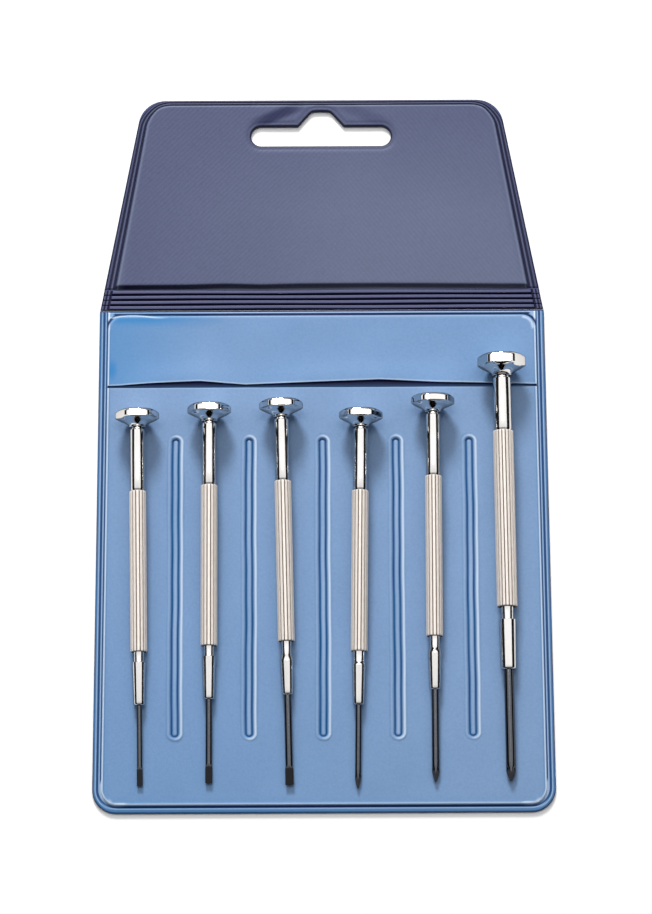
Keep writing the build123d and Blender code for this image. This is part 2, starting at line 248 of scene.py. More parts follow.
def vinyl(name, shade, light, pressed_blue, pressed_navy, taut, grain=1500, cloud=30, twill=None, gloss=0.38):
    """Soft PVC: two close shades clouded together and a leather grain.  Marks on the mesh paint a
    deeper blue where shade falls, darken it where a weld has squeezed it thin, down to the navy
    below it, and also with painted shade in grooves, at edges and under lips, and lighten it with
    painted highlights on beads, ridges and lit areas.  twill, if given, adds an embossed diagonal rib."""
    material, tree, shader = new_material(name)
    place = tree.nodes.new("ShaderNodeTexCoord").outputs["Object"]
    skin = tree.nodes.new("ShaderNodeGroup")
    skin.node_tree = vinyl_grain
    skin.inputs["Grain Scale"].default_value = grain
    skin.inputs["Cloud Scale"].default_value = cloud
    tree.links.new(place, skin.inputs["Place"])
    cloud_share = ranged(tree, skin.outputs["Cloud"], 0.3, 0.7, 0, 1)
    colour = mixed(tree, cloud_share, shade, light)
    speck = ranged(tree, skin.outputs["Height"], 0.5, 1.1, 0, 0.14)
    colour = mixed(tree, speck, colour, pressed_blue)
    normal = bumped(tree, skin.outputs["Height"], 0.035 * MM, 0.55)
    if twill is not None:
        # The twill gives a rib height and a painted shade that is darkest down between its ribs.
        rib, share = twill(tree, place)
        normal = bumped(tree, rib, 0.03 * MM, 0.5, normal)
        colour = mixed(tree, share, colour, tuple(0.72 * c for c in shade))
    # These marks paint light and shade: a deeper blue where shade falls, welds squeezed thin together with
    # painted shade in grooves and under lips, and painted highlights.
    pressed = attribute(tree, "pressed")
    colour = mixed(tree, attribute(tree, "stretched"), colour, taut)
    colour = mixed(tree, ranged(tree, pressed, 0, 0.7, 0, 1), colour, pressed_blue)
    colour = mixed(tree, ranged(tree, pressed, 0.7, 1, 0, 1), colour, pressed_navy)
    colour = mixed(tree, attribute(tree, "bleached"), colour, bleached_blue)
    rough = ranged(tree, skin.outputs["Cloud"], 0.3, 0.7, gloss - 0.05, gloss + 0.06)
    for key, value in (("Base Color", colour), ("Roughness", rough), ("Normal", normal)):
        feed(tree, shader.inputs[key], value)
    shader.inputs["Specular IOR Level"].default_value = 0.14
    return material


cover_vinyl = vinyl("cover_vinyl", navy, tuple(1.2 * c for c in navy), deep_navy, deep_navy, navy, gloss=0.34)
for name in ("cover_pouch", "cover_flap"):
    node = frame["nodes"][name]
    node.data.materials.clear()
    node.data.materials.append(cover_vinyl)

# ---- pocket front ----------------------------------------------------------------------
# A sheet of light-blue vinyl over the lower pouch, welded down round three sides with a
# beaded edge and between the pockets along five round-ended slots.  Its upper edge is free.
pocket_count = 6
pocket_pitch = 18.0
front_thickness = 0.25
corner_radius = 5.9
weld_line = 35.0
front_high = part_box("pocket_front")[1] / MM
mouth_edge = front_high.y
bottom_half = front_high.x
side_taper = 0.8 / (weld_line - bottom_edge)  # the sides lean in by 0.8 up to the weld line
slot_half_width = 1.2
slot_low = bottom_edge + 18.1
slot_high = mouth_edge - 12.7
sheet_blue = (0.178, 0.288, 0.482)
sheet_light = (0.203, 0.318, 0.517)
# A deeper blue for painted shade, then colours for welds squeezed thin that also serve for painted shade in
# grooves and under the band.
taut_blue = (0.03, 0.2, 0.47)
weld_blue = (0.014, 0.095, 0.25)
weld_navy = (0.012, 0.018, 0.09)


def pouch_half_width(y):
    """Half the pouch's width at height y, its bottom corners rounded by quarter circles."""
    straight = bottom_half - side_taper * (y - bottom_edge)
    rise = np.clip(corner_radius - (y - bottom_edge), 0, corner_radius)
    return straight - corner_radius + np.sqrt(corner_radius**2 - rise**2)


def spaced(*runs):
    """Values along runs of (end, step): each run is divided evenly into steps no longer than
    its own, and starts where the last one ended.  The first run is the starting value."""
    values = [runs[0]]
    for end, step in runs[1:]:
        count = max(1, math.ceil(abs(end - values[-1]) / step - 1e-9))
        values.extend(np.linspace(values[-1], end, count + 1)[1:])
    return np.array(values)


def outline_distance(x, y, outline):
    """Distance of each point from a closed outline: the least over its straight edges, where
    the nearest point of an edge is the foot of the perpendicular, kept between its ends."""
    points = np.stack([x.ravel(), y.ravel()], 1)
    starts, ends = outline, np.roll(outline, -1, 0)
    least = np.full(len(points), 1e9)
    for start, run in zip(starts, ends - starts):
        away = points - start
        share = np.clip(away @ run / max(run @ run, 1e-12), 0, 1)
        least = np.minimum(least, np.hypot(*(away - share[:, None] * run).T))
    return least.reshape(x.shape)


def smooth_mesh(name, vertices, faces, body, marks, crease_deg=40):
    """A mesh object from arrays, shaded smooth except where faces meet at a sharp angle."""
    mesh = bpy.data.meshes.new(name)
    mesh.from_pydata(vertices * MM, [], faces)
    for key, values in marks.items():
        mesh.attributes.new(key, "FLOAT", "POINT").data.foreach_set("value", np.asarray(values, np.float32))
    mesh.shade_smooth()
    mesh.set_sharp_from_angle(angle=math.radians(crease_deg))
    piece = bpy.data.objects.new(name, mesh)
    bpy.context.collection.objects.link(piece)
    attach(piece, body)
    return piece


def closed_sheet(name, body, x, y, top, under, split_row=None, joined=None, cut=None, **marks):
    """A closed sheet from a grid of points with an upper and a lower height.  Every square of
    the grid is a face above and a reversed one below, and each edge that only one square uses
    gets a wall.  Where a grid is split after a row, the two rows share points where joined.  A
    square with a point outside cut is left out."""
    rows, columns = x.shape
    index = np.arange(rows * columns).reshape(rows, columns)
    kept = np.ones(rows - 1, bool)
    if split_row is not None:
        index[split_row + 1] = np.where(joined, index[split_row], index[split_row + 1])
        kept[split_row] = False
    squares = np.stack([index[:-1, :-1], index[:-1, 1:], index[1:, 1:], index[1:, :-1]], -1)
    quads = squares[kept].reshape(-1, 4)
    if cut is not None:
        quads = quads[cut.ravel()[quads].all(1)]
    used, quads = np.unique(quads, return_inverse=True)
    quads = quads.reshape(-1, 4)
    edges = np.concatenate([quads[:, [i, (i + 1) % 4]] for i in range(4)])
    _, first, uses = np.unique(np.sort(edges, 1), axis=0, return_index=True, return_counts=True)
    rim = edges[first[uses == 1]]
    count = len(used)
    walls = np.column_stack([rim[:, 1], rim[:, 0], rim[:, 0] + count, rim[:, 1] + count])
    flat = np.stack([x.ravel()[used], y.ravel()[used]], 1)
    above = np.column_stack([flat, top.ravel()[used]])
    below = np.column_stack([flat, under.ravel()[used]])
    faces = np.concatenate([quads, quads[:, ::-1] + count, walls])
    marks = {key: np.tile(value.ravel()[used], 2) for key, value in marks.items()}
    return smooth_mesh(name, np.concatenate([above, below]), faces.tolist(), body, marks)


def columns_across(half_width, at, still, edge):
    """x of each column where the sheet is half_width wide on either side.  Columns out to still
    keep their place, the ones within edge of the side move in with it, and the ones between take
    a share of the move that grows evenly."""
    widest = at.max()
    share = np.clip((np.abs(at) - still) / (widest - edge - still), 0, 1)
    return at + np.sign(at) * share * (half_width - widest)


def waves(x, y, rows):
    """Sum of sine waves over the sheet, from rows of (amount, x turns, y turns, start)."""
    return sum(a * np.sin(2 * math.pi * (x * u + y * v) + s) for a, u, v, s in rows)


# Distance from the edge against height, darkness and painted highlight: a rolled rim, two grooves and a
# tall bead at the sides, a wide rim and one groove at the foot, and a groove between two beads.
# The darkness is welds squeezed thin together with painted shade in the grooves and on the rolled rim.
side_steps = [0, 0.15, 0.24, 0.5, 0.6, 0.72, 0.86, 0.94, 1.2, 1.42, 1.52, 1.66, 1.76, 1.84, 2.0, 2.1,
              2.25, 2.45, 2.58, 2.8, 3.1]
side_heights = [0.62, 0.9, 0.98, 0.97, 1.02, 1.08, 1.02, 0.84, 0.74, 0.84, 0.98, 1.04, 0.98, 0.84, 0.82,
                1.05, 1.4, 1.46, 1.4, 1.32, 1.3]
side_dark = [1, 0.9, 0.55, 0.42, 0.2, 0, 0, 0.8, 0.9, 0.8, 0, 0, 0, 0.8, 0.9, 0.2, 0, 0, 0.3, 0.1, 0]
side_bleach = [0, 0, 0, 0, 0.15, 0.5, 0.2, 0, 0, 0, 0.25, 0.5, 0.2, 0, 0, 0.15, 0.75, 0.8, 0.1, 0, 0]
foot_steps = [0, 0.15, 0.28, 0.8, 0.95, 1.08, 1.2, 1.3, 1.5, 1.7, 1.78, 1.9, 2.05, 2.2, 2.34, 2.6, 2.9]
foot_heights = [0.62, 0.9, 1.0, 1.02, 1.05, 1.06, 0.98, 0.76, 0.68, 0.76, 0.9, 1.2, 1.42, 1.46, 1.4, 1.32,
                1.3]
foot_dark = [0.8, 0.55, 0.38, 0.34, 0.1, 0, 0.2, 0.9, 1, 0.95, 0.8, 0.2, 0, 0, 0.15, 0.05, 0]
foot_bleach = [0, 0, 0, 0, 0.15, 0.3, 0, 0, 0, 0, 0, 0.3, 0.75, 0.6, 0, 0, 0]
slot_steps = [0, 0.3, 0.5, 0.62, 0.74, 0.86, 1.0, 1.2, 1.45, 1.7, 1.95, 2.2]
slot_heights = [1.14, 1.12, 1.04, 0.9, 0.84, 0.92, 1.16, 1.38, 1.47, 1.45, 1.36, 1.3]
slot_dark = [0.0, 0.0, 0.3, 0.75, 0.84, 0.72, 0.2, 0.04, 0, 0, 0.12, 0]
slot_bleach = [0.22, 0.16, 0, 0, 0, 0, 0.05, 0.15, 0.5, 0.55, 0.05, 0]
border_width = 2.1  # from the pouch's edge to where the panel inside the welds begins
still_half = 39
moving_edge = 3.4

slot_places = [(i - pocket_count / 2) * pocket_pitch for i in range(1, pocket_count)]
column_runs = [-bottom_half, (-bottom_half + 3.1, 0.125)]
for place in slot_places:
    column_runs += [(place - 2.5, 1.2), (place + 2.5, 0.17)]
column_runs += [(bottom_half - 3.1, 1.2), (bottom_half, 0.125)]
front_columns = spaced(*column_runs)
front_rows = spaced(
    bottom_edge, (bottom_edge + 3.0, 0.125), (bottom_edge + corner_radius, 0.3), (slot_low - 1.5, 1.3),
    (slot_low + 2.6, 0.2), (slot_high - 2.6, 2.0), (slot_high + 1.5, 0.2), (mouth_edge - 1, 1.2),
    (mouth_edge, 0.17),
)


def pouch_outline(high):
    """Points round the pouch up to a height, the rounded corners stepped by angle."""
    angles = np.linspace(0, math.pi / 2, 14)
    turn_y = bottom_edge + corner_radius * (1 - np.cos(angles))
    right_y = np.append(turn_y, high)
    right = np.column_stack([pouch_half_width(right_y), right_y])
    return np.concatenate([right, right[::-1] * (-1, 1)])


def profile(away, steps, *columns):
    """Columns of a weld's profile at each distance from it, straight between the steps."""
    return [np.interp(away, steps, values) for values in columns]


def edge_profile(x, y, outline, share_of_foot):
    """Distance from the outline, and by it the welded edge's height, darkness and painted highlight:
    the side's profile and the foot's, mixed where the corner turns from one to the other."""
    away = outline_distance(x, y, outline)
    sides = profile(away, side_steps, side_heights, side_dark, side_bleach)
    feet = profile(away, foot_steps, foot_heights, foot_dark, foot_bleach)
    return [away] + [side + share_of_foot * (foot - side) for side, foot in zip(sides, feet)]


grid_y = np.repeat(front_rows[:, None], len(front_columns), 1)
grid_x = columns_across(pouch_half_width(front_rows)[:, None], front_columns, still_half, moving_edge)
foot_share = np.clip((bottom_edge + 7 - grid_y) / 5, 0, 1)
foot_share *= np.clip((bottom_half - 1 - abs(grid_x)) / 4, 0, 1)
open_outline = pouch_outline(mouth_edge + 40)
edge_away, front_rise, front_dark, front_bleach = edge_profile(grid_x, grid_y, open_outline, foot_share)
inside = np.clip((edge_away - 3) / 5, 0, 1)
slack_waves = [(0.05, 1 / 31, 1 / 74, 0.4), (0.04, -1 / 43, 1 / 29, 2), (0.03, 1 / 17, 1 / 51, 1)]
slack = waves(grid_x, grid_y, slack_waves)
front_rise += inside * (slack + 0.06 * np.cos(2 * math.pi * grid_x / pocket_pitch) ** 2 - 0.02)
for number, place in enumerate(slot_places):
    low = slot_low + slot_half_width
    high = slot_high - slot_half_width
    wander = 0.05 * np.sin(grid_y / 7 + number) + 0.03 * np.sin(grid_y / 2.3 + 2 * number)
    across = grid_x - place - wander
    along = np.clip(grid_y, low, high)
    from_middle = np.hypot(across, (grid_y - along) * 1.08)
    lean = 0.12 * np.clip(across, -1, 1)
    weld_rise, weld_dark, weld_bleach = profile(from_middle, slot_steps, slot_heights, slot_dark, slot_bleach)
    weld_rise += lean * np.interp(from_middle, [1, 1.5, 2, 2.4], [0, 0.4, 0.3, 0])
    near = np.interp(from_middle, [1.9, 2.4], [1, 0])
    front_rise += near * (weld_rise - front_rise)
    front_dark = np.maximum(front_dark, weld_dark)
    # Painted highlights along the slots' beads, brighter on their right-hand side.
    brighter = np.clip(0.6 + 0.55 * across + 0.25 * np.sin(grid_y / 9 + 3 * number), 0.15, 1.3)
    front_bleach = np.maximum(front_bleach, weld_bleach * brighter)
lip_away = mouth_edge - grid_y
front_rise += np.interp(lip_away, [0, 0.2, 0.6], [-0.08, -0.01, 0]) * (edge_away > 2.3)
front_dark = np.minimum(front_dark, 1)
# A painted highlight in a crescent on the bead round each lower corner.
in_corner = (np.abs(grid_x) > bottom_half - corner_radius - 2) & (grid_y < bottom_edge + corner_radius + 2)
crescent = in_corner * np.exp(-(((edge_away - 2.15) / 0.3) ** 2))
front_bleach = np.maximum(front_bleach, 0.95 * crescent)
slot_away = np.min([abs(grid_x - place) for place in slot_places], 0)
in_slot = (slot_away < 1.1) & (grid_y > slot_low) & (grid_y < slot_high)
welded = (edge_away < border_width) | in_slot
front_under = np.where(welded, cover_top, np.maximum(front_rise - front_thickness, cover_top + 0.02))
# Painted shade: a deeper blue near the welded edge and towards the lower left.
low_left = 0.26 * np.clip((slot_high - grid_y) / 90, 0, 1) * np.clip((60 - grid_x) / 90, 0.2, 1)
pocket_front = closed_sheet(
    "pocket_front_sheet", "wallet", grid_x, grid_y, front_rise, front_under,
    pressed=front_dark, bleached=np.clip(front_bleach, 0, 1),
    stretched=np.clip(0.3 * (1 - edge_away / 4), 0, 1) + low_left,
)
pocket_vinyl = vinyl(
    "pocket_vinyl", sheet_blue, sheet_light, weld_blue, weld_navy, taut_blue, grain=1700, cloud=38,
    gloss=0.36,
)
pocket_front.data.materials.append(pocket_vinyl)
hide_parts("pocket_front")

# ---- band above the mouth --------------------------------------------------------------
# A second sheet of the same vinyl between the pockets' mouth and the hinge, welded at its
# sides and top.  Its lower lip is free and lifts in slow waves over the pocket front.
band_top_weld = 1.0
lip_waves_x = [-55, -50, -42.4, -30.1, -19, -5.5, 1.9, 14.2, 29, 50, 55]
lip_waves_y = [15.95, 16.1, 16.6, 17.0, 16.2, 16.6, 16.85, 17.2, 16.6, 16.15, 16.0]
lip_lift = [0, 0.1, 0.45, 0.75, 0.25, 0.5, 0.65, 0.9, 0.45, 0.1, 0]
hinge_land = 0.37  # dark cover left showing between the band and the first groove
# The top weld's darkness is welds squeezed thin together with painted shade in its groove; its light lines
# are painted highlights.
top_steps = [-0.4, -0.03, 0, 0.12, 0.3, 0.46, 0.56, 0.7, 0.9, 1.02, 1.15, 1.35, 1.7, 2.2]
top_heights = [0.42, 0.44, 0.75, 0.92, 1.0, 0.98, 0.8, 0.7, 0.72, 0.9, 1.15, 1.3, 1.36, 1.34]
top_dark = [1, 1, 0.2, 0, 0, 0.15, 0.9, 1, 1, 0.7, 0.1, 0, 0, 0]
top_bleach = [0, 0, 0, 0.25, 0.3, 0.1, 0, 0, 0, 0, 0.1, 0.25, 0.05, 0]
band_corner = 3.4
band_columns = spaced(
    -bottom_half, (-bottom_half + 3.1, 0.125), (-bottom_half + 8, 0.4), (bottom_half - 8, 1.0),
    (bottom_half - 3.1, 0.4), (bottom_half, 0.125),
)
band_top = weld_line + hinge_land
band_shares = spaced(0, (0.06, 0.008), (0.8, 0.04), (0.885, 0.012), (1, 0.0058))
above_mouth = 8
lip_x = columns_across(pouch_half_width(mouth_edge + above_mouth), band_columns, still_half, moving_edge)
lip_y = np.interp(lip_x, lip_waves_x, lip_waves_y)
in_border = np.abs(band_columns) > bottom_half - 2.15
lip_y = np.where(in_border, mouth_edge + 0.02, lip_y)
grid_y = lip_y + band_shares[:, None] * (band_top - lip_y)
half = bottom_half - side_taper * (grid_y - bottom_edge)
grid_x = columns_across(half, band_columns, still_half, moving_edge)
edge_away, band_rise, band_dark, band_bleach = edge_profile(grid_x, grid_y, open_outline, 0)
top_away = weld_line - grid_y
inner_side = np.clip(edge_away - border_width, 0, None)
turn_x = np.clip(band_corner - inner_side, 0, None)
turn_y = np.clip(band_corner - (top_away - band_top_weld), 0, band_corner)
round_away = band_top_weld + band_corner - np.hypot(turn_x, turn_y)
rounding = (turn_x > 0) & (turn_y > 0) & (top_away > 0)
corner_away = np.where(rounding, np.minimum(top_away, np.maximum(round_away, 0.2)), top_away)
in_panel = edge_away > border_width
weld_away = np.where(in_panel, corner_away, top_away)
top_rise, top_shade, top_light = profile(weld_away, top_steps, top_heights, top_dark, top_bleach)
on_top = in_panel | (top_away < 0)
band_rise = np.where(on_top, np.minimum(band_rise, top_rise), band_rise)
band_bleach = np.where(on_top, np.minimum(band_bleach, 1 - top_shade) + top_light, band_bleach)
band_dark = np.where(on_top, np.maximum(band_dark, top_shade), band_dark)
lip_away = grid_y - lip_y
lift = np.interp(grid_x, lip_waves_x, lip_lift) * np.exp(-((lip_away / 4.5) ** 2))
inside = np.clip((edge_away - 3) / 4, 0, 1) * np.clip((corner_away - 2) / 3, 0, 1)
slack = waves(grid_x, grid_y, [(0.05, 1 / 23, 1 / 40, 1), (0.05, -1 / 37, 1 / 19, 2)])
band_rise += inside * (lift + slack)
band_rise += np.interp(lip_away, [0, 0.15, 0.5], [-0.06, -0.01, 0]) * in_panel
band_under = np.where(in_panel & (corner_away > 1.1), band_rise - front_thickness, cover_top)
band_under = np.maximum(band_under, cover_top)
# Painted highlights: a wavy line of light near the left end of the top weld, like a lit wrinkle, a glossy arc
# in the right-hand corner and a light rim along the lip.
wrinkle_line = 1.25 + 0.3 * np.sin(grid_x / 2.3)
wrinkle = np.exp(-(((top_away - wrinkle_line) / 0.22) ** 2)) * np.clip((-37 - grid_x) / 5, 0, 1)
glossy_corner = np.exp(-(((corner_away - 1.7) / 0.3) ** 2)) * rounding * (grid_x > 0)
lip_rim = np.interp(lip_away, [0, 0.22, 0.34], [0.5, 0.4, 0])
gleams = np.maximum(np.maximum(0.85 * wrinkle, 0.7 * glossy_corner), lip_rim) * in_panel
band_bleach = np.maximum(band_bleach, gleams)
# Painted shade: a deeper blue over the whole band, more towards the left, the top-left corner and low at the
# far left.
left_pull = np.clip((-grid_x - 20) / 34, 0, 1) * 0.6
corner_pull = np.clip(1.5 - top_away / 3.8, 0, 1) * np.clip(1 - (grid_x + 42) / 24, 0, 1)
low_pull = np.exp(-(((grid_x + 52) / 2.2) ** 2) - ((lip_away - 4) / 4) ** 2)
pull = np.maximum(np.maximum(left_pull, corner_pull), low_pull)
mouth_band = closed_sheet(
    "mouth_band_sheet", "wallet", grid_x, grid_y, band_rise, band_under, pressed=band_dark,
    bleached=np.clip(band_bleach, 0, 1), stretched=np.clip(pull, 0.16, 1),
)
mouth_band.data.materials.append(pocket_vinyl)
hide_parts("mouth_band")

# Behind the mouth the pocket's back shows, darkened with painted shade up under the band.
back_rows = spaced(mouth_edge - 1.2, (mouth_edge + 2.4, 0.2))
back_columns = spaced(-bottom_half + 2.6, (bottom_half - 2.6, 2.0))
grid_x, grid_y = np.meshgrid(back_columns, back_rows)
back_dark = np.interp(grid_y, [mouth_edge, mouth_edge + 0.5, mouth_edge + 1.1], [0.3, 0.8, 1])
pocket_back = closed_sheet(
    "pocket_back_strip", "wallet", grid_x, grid_y, np.full_like(grid_x, cover_top + 0.08),
    np.full_like(grid_x, cover_top), pressed=back_dark,
)
pocket_back.data.materials.append(pocket_vinyl)

# ---- ribbed hinge ----------------------------------------------------------------------
# Four narrow ribs moulded across the cover, with deep grooves where it bends.  Each is its
# own strip of navy vinyl with a rounded back and a flat beaded border at both ends.
rib_count = 4
rib_pitch = 1.3
first_web = 35.6
web_radius = cover_top / 2
rib_height = 0.86
rib_inset = 1.9
middle_share = 0.85  # of the half width, where the columns lie evenly
end_run = 3
fold_slope = 4.0  # the ribs' ends lean back this steeply from each web, so that they can fold
weld_height = 0.42  # where the vinyl is pressed down to the cover
flap_free_half = 44.6
flap_lean = (pouch_half_width(weld_line) - flap_free_half) / (free_edge - weld_line)
hinge_vinyl = vinyl(
    "hinge_vinyl", (0.082, 0.09, 0.18), (0.092, 0.1, 0.195), deep_navy, deep_navy, (0.11, 0.12, 0.25),
    gloss=0.3,
)


def flap_half_width(y):
    """Half the flap's width at height y, where its sides lean straight in."""
    return pouch_half_width(weld_line) - flap_lean * (y - weld_line)


# The darkness is the land squeezed down to the cover together with painted shade down in the grooves between
# the ribs and along the border.
rib_steps = [0, 0.08, 0.18, 0.26, 0.36, 0.65]
rib_rises = [0.4, 0.42, 0.56, 0.76, 0.84, rib_height]
rib_dark = [1, 1, 0.9, 0.35, 0.05, 0]
rim_steps = [0, 0.2, 0.32, 0.65, 0.8, 1.0, 1.12, 1.5, 1.62, 1.9]
rim_heights = [0.42, 0.6, 0.68, 0.66, 0.52, 0.52, 0.64, 0.62, 0.5, 0.44]
rim_dark = [1, 0.75, 0.1, 0.1, 0.85, 0.9, 0.1, 0.1, 0.85, 1]
for rib in range(rib_count):
    start = first_web + rib * rib_pitch + 0.01
    end = start + rib_pitch - 0.02
    rows = np.linspace(start, end, 17)
    half = flap_half_width(rows)
    across = spaced(-1, (1, 0.0047))
    side = np.sign(across)
    middle_x = across / middle_share * (half[:, None] - end_run)
    end_x = side * (half[:, None] - end_run * (1 - np.abs(across)) / (1 - middle_share))
    grid_x = np.where(np.abs(across) < middle_share, middle_x, end_x)
    grid_y = np.repeat(rows[:, None], len(across), 1)
    side_away = half[:, None] - np.abs(grid_x)
    row_away = np.minimum(grid_y - start, end - grid_y)
    row_away -= 0.05 * np.sin(grid_x / 9 + rib) * np.sign(grid_y - (start + end) / 2)
    ridge, ridge_dark = profile(row_away, rib_steps, rib_rises, rib_dark)
    border, border_dark = profile(side_away, rim_steps, rim_heights, rim_dark)
    fade = np.clip((side_away - rib_inset) / 0.35, 0, 1)
    rise = np.where(side_away < rib_inset, border, weld_height + fade * (ridge - weld_height))
    rise = np.minimum(rise, web_radius + fold_slope * np.minimum(grid_y - start, end - grid_y))
    dark = np.where(side_away < rib_inset, border_dark, np.maximum(1 - fade, ridge_dark))
    strip = closed_sheet(
        f"hinge_rib_strip_{rib + 1}", f"rib_{rib + 1}", grid_x, grid_y, rise, np.zeros_like(rise),
        pressed=dark,
    )
    strip.data.materials.append(hinge_vinyl)
    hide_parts(f"hinge_rib_{rib + 1}")

# ---- flap ------------------------------------------------------------------------------
# Navy lining vinyl embossed with a fine twill, drawn over a stiff board and welded down at
# its edge and round the hang slot, which is cut through the flap.
flap_corner = 6.8
flap_start = (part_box("flap_lining")[0] / MM).y
slot_half = 17.5
slot_floor = 78.1
slot_roof = 83.3
slot_middle = (slot_floor + slot_roof) / 2
slot_end_radius = (slot_roof - slot_floor) / 2
peak_top = 87.3
peak_half_top = 2.3
peak_half_foot = 5.7
peak_rounding = 0.55


def flap_edge(y):
    """Half the flap's width, its two free corners rounded by quarter circles."""
    rise = np.clip(flap_corner - (free_edge - y), 0, flap_corner)
    return flap_half_width(y) - flap_corner + np.sqrt(flap_corner**2 - rise**2)


def slot_edges(x):
    """Lower and upper edge of the hang slot at each x: a straight band with round ends, and a
    peak whose slopes run into its flat top through a soft minimum."""
    end = np.clip(np.abs(x) - (slot_half - slot_end_radius), 0, slot_end_radius)
    half_height = np.sqrt(slot_end_radius**2 - end**2)
    steepness = (peak_top - slot_roof) / (peak_half_foot - peak_half_top)
    slope = slot_roof + (peak_half_foot - np.abs(x)) * steepness
    capped = (slope + peak_top - np.sqrt((slope - peak_top) ** 2 + peak_rounding**2)) / 2
    in_peak = np.abs(x) < peak_half_foot
    roof = np.where(in_peak, np.maximum(capped, slot_roof), slot_middle + half_height)
    straight = np.abs(x) < slot_half - slot_end_radius
    return slot_middle - half_height, np.where(straight, np.maximum(roof, slot_roof), roof)


root_half = flap_half_width(flap_start)
edge_band = 3.6
still_flap_half = 21
half_run = np.concatenate([
    spaced(0, (1.2, 0.3), (3.4, 0.2), (peak_half_foot - 0.3, 0.4), (peak_half_foot + 0.5, 0.14),
           (slot_half - slot_end_radius, 0.9)),
    slot_half - slot_end_radius + slot_end_radius * np.sin(np.linspace(0, math.pi / 2, 15))[1:],
    spaced(slot_half + 0.15, (slot_half + 2.2, 0.17), (root_half - edge_band, 1.3), (root_half, 0.12)),
])
flap_columns = np.concatenate([-half_run[:0:-1], half_run])
root_strip = 0.48
below_rows = spaced(
    flap_start - root_strip, (flap_start + 1.7, 0.12), (72, 1.4), (75.4, 0.8), (slot_floor, 0.2))
above_rows = 1 - spaced(1, (0.75, 0.0235), (0.24, 0.04), (0, 0.0145))
low_edge, high_edge = slot_edges(flap_columns)
flap_root = below_rows[0]
low_share = (below_rows - flap_root) / (slot_floor - flap_root)
low_edge = np.where(np.abs(flap_columns) >= slot_half, slot_middle, low_edge)
high_edge = np.where(np.abs(flap_columns) >= slot_half, slot_middle, high_edge)
lower_y = flap_root + low_share[:, None] * (low_edge[None, :] - flap_root)
upper_y = high_edge[None, :] + above_rows[:, None] * (free_edge - high_edge[None, :])
grid_y = np.concatenate([lower_y, upper_y])
grid_x = columns_across(flap_edge(grid_y), flap_columns, still_flap_half, edge_band)

corner_angles = np.linspace(math.pi / 2, 0, 12)
corner_y = free_edge - flap_corner * (1 - np.cos(corner_angles))
right_y = np.concatenate([[flap_start - 40], corner_y])
right = np.column_stack([flap_edge(right_y), right_y])
flap_outline = np.concatenate([right, right[::-1] * (-1, 1)])
ring_x = half_run[half_run <= slot_half]
ring_x = np.concatenate([-ring_x[:0:-1], ring_x])
ring_low, ring_high = slot_edges(ring_x)
slot_outline = np.concatenate([
    np.column_stack([ring_x, ring_low]), np.column_stack([ring_x, ring_high])[::-1]])

side_away = outline_distance(grid_x, grid_y, flap_outline)
slot_away = outline_distance(grid_x, grid_y, slot_outline)
root_waves_x = [-52, -44, -33, -24, -15, -5, 5, 15, 34, 50]
root_waves = [0.05, 0.15, 0.3, 1.0, 0.3, 0.85, 0.95, 1.0, 0.5, 0.05]
root_away = grid_y - flap_start - 0.35 * np.interp(grid_x, root_waves_x, root_waves)
narrowing = np.clip((grid_y - flap_start) / (free_edge - flap_start), 0, 1)
top_side = np.clip((grid_y - free_edge + 8) / 6, 0, 1)
stretch = 1 + 0.3 * (1 - narrowing) - 0.3 * top_side * np.clip((44 - np.abs(grid_x)) / 3, 0, 1)
rim_away = side_away / stretch
# The border's darkness is welds squeezed thin together with painted shade in its grooves; its light lines are
# painted highlights.
border_steps = [0, 0.2, 0.3, 0.62, 0.74, 1.05, 1.15, 1.45, 1.55, 1.85, 1.98, 2.2, 2.35, 2.5, 2.8, 3.1]
border_heights = [0.45, 0.62, 0.7, 0.72, 0.6, 0.58, 0.7, 0.72, 0.6, 0.6, 0.8, 1.18, 1.3, 1.36, 1.38, 1.38]
border_dark = [1, 0.8, 0.2, 0.12, 0.85, 0.85, 0.15, 0.1, 0.9, 0.9, 0.3, 0.05, 0, 0, 0, 0]
border_bleach = [0, 0, 0, 0, 0, 0, 0.03, 0.03, 0, 0, 0, 0.05, 0.14, 0.1, 0.02, 0]
edge_rise, edge_dark, edge_bleach = profile(
    rim_away, border_steps, border_heights, border_dark, border_bleach)
# The slot rim's darkness is painted shade on the edge that faces into the slot.
ring_steps = [0, 0.14, 0.3, 0.55, 0.8, 1.05, 1.4, 1.9]
ring_heights = [0.9, 1.1, 1.2, 1.24, 1.2, 1.24, 1.34, 1.38]
ring_dark = [1, 0.95, 0.4, 0.08, 0.12, 0.05, 0, 0]
slot_rise, slot_shade = profile(slot_away, ring_steps, ring_heights, ring_dark)
root_rise = np.interp(root_away, [-0.45, 0, 0.1, 0.3, 0.6, 1.2], [0.3, 0.7, 0.8, 1.2, 1.34, 1.38])
# root_shade is a painted shadow under the raised panel's lower edge.
root_shade = np.interp(root_away, [-0.4, 0.1, 0.35, 0.6, 0.9], [1, 1, 0.9, 0.3, 0])
panel = waves(grid_x, grid_y, [(0.02, 1 / 41, 1 / 33, 0), (0.015, -1 / 27, 1 / 50, 2)])
